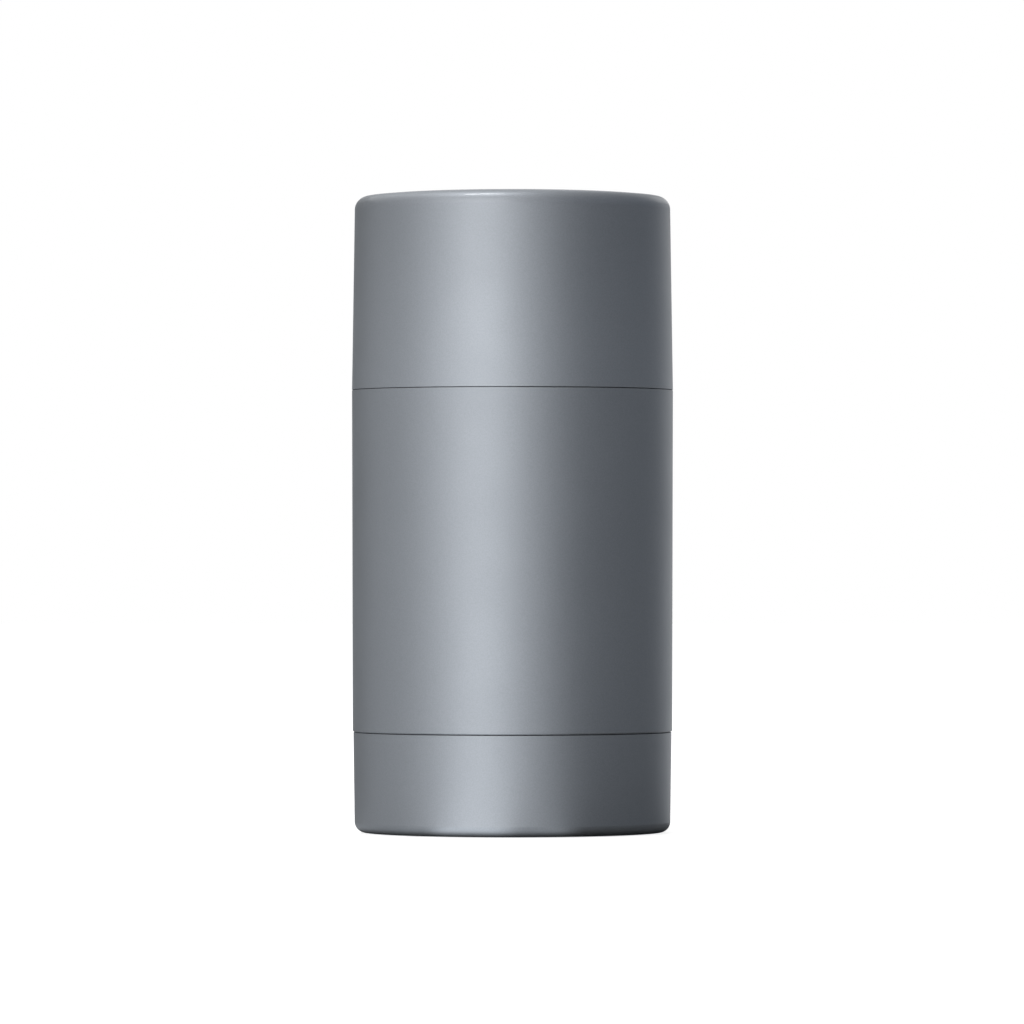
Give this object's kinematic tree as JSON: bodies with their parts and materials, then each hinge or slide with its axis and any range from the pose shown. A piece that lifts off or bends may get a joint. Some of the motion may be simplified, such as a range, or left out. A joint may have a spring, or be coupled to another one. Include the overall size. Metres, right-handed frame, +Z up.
{
  "type": "clay mask stick",
  "caption": "Closed twist-up stick of clay face mask: a round metallic-grey barrel with a lift-off cap and a turning base that raises the clay on a screw.",
  "frame": {"origin": "centre of the foot, on the surface that the stick stands on", "axes": "+Z up along the axis from the turning base to the cap; outside the stick is a solid of revolution, so X and Y are free, and the key ribs in its bore lie 35 and 215 degrees from +X"},
  "size_m": [0.0384, 0.0384, 0.0765],
  "materials": {
    "satin_metallic_paint": "satin",
    "white_plastic": "satin",
    "grey_plastic": "satin",
    "seal_rubber": "matte",
    "clay": "matte"
  },
  "bodies": {
    "barrel": {"barrel_shell": "satin_metallic_paint", "inner_tube": "white_plastic"},
    "dial": {"dial_shell": "satin_metallic_paint", "dial_core": "grey_plastic", "lead_screw": "white_plastic", "screw_seal": "seal_rubber"},
    "stick": {"stick_carrier": "grey_plastic", "clay_stick": "clay"},
    "cap": {"cap_shell": "satin_metallic_paint", "cap_liner": "white_plastic", "cap_seal": "seal_rubber"}
  },
  "joints": [
    {"name": "dial_turn", "type": "hinge", "parent": "barrel", "child": "dial", "pos_m": [0, 0, 0.006], "axis": [0, 0, 1], "range_deg": [0, 2880]},
    {"name": "stick_rise", "type": "slide", "parent": "barrel", "child": "stick", "axis": [0, 0, 1], "range_m": [0, 0.048]},
    {"name": "cap_pull", "type": "slide", "parent": "stick", "child": "cap", "axis": [0, 0, 1], "range_m": [0, 0.03]}
  ],
  "couplings": [
    {"joint": "dial_turn", "follows": "stick_rise", "rad_per_m": 1047.2}
  ]
}
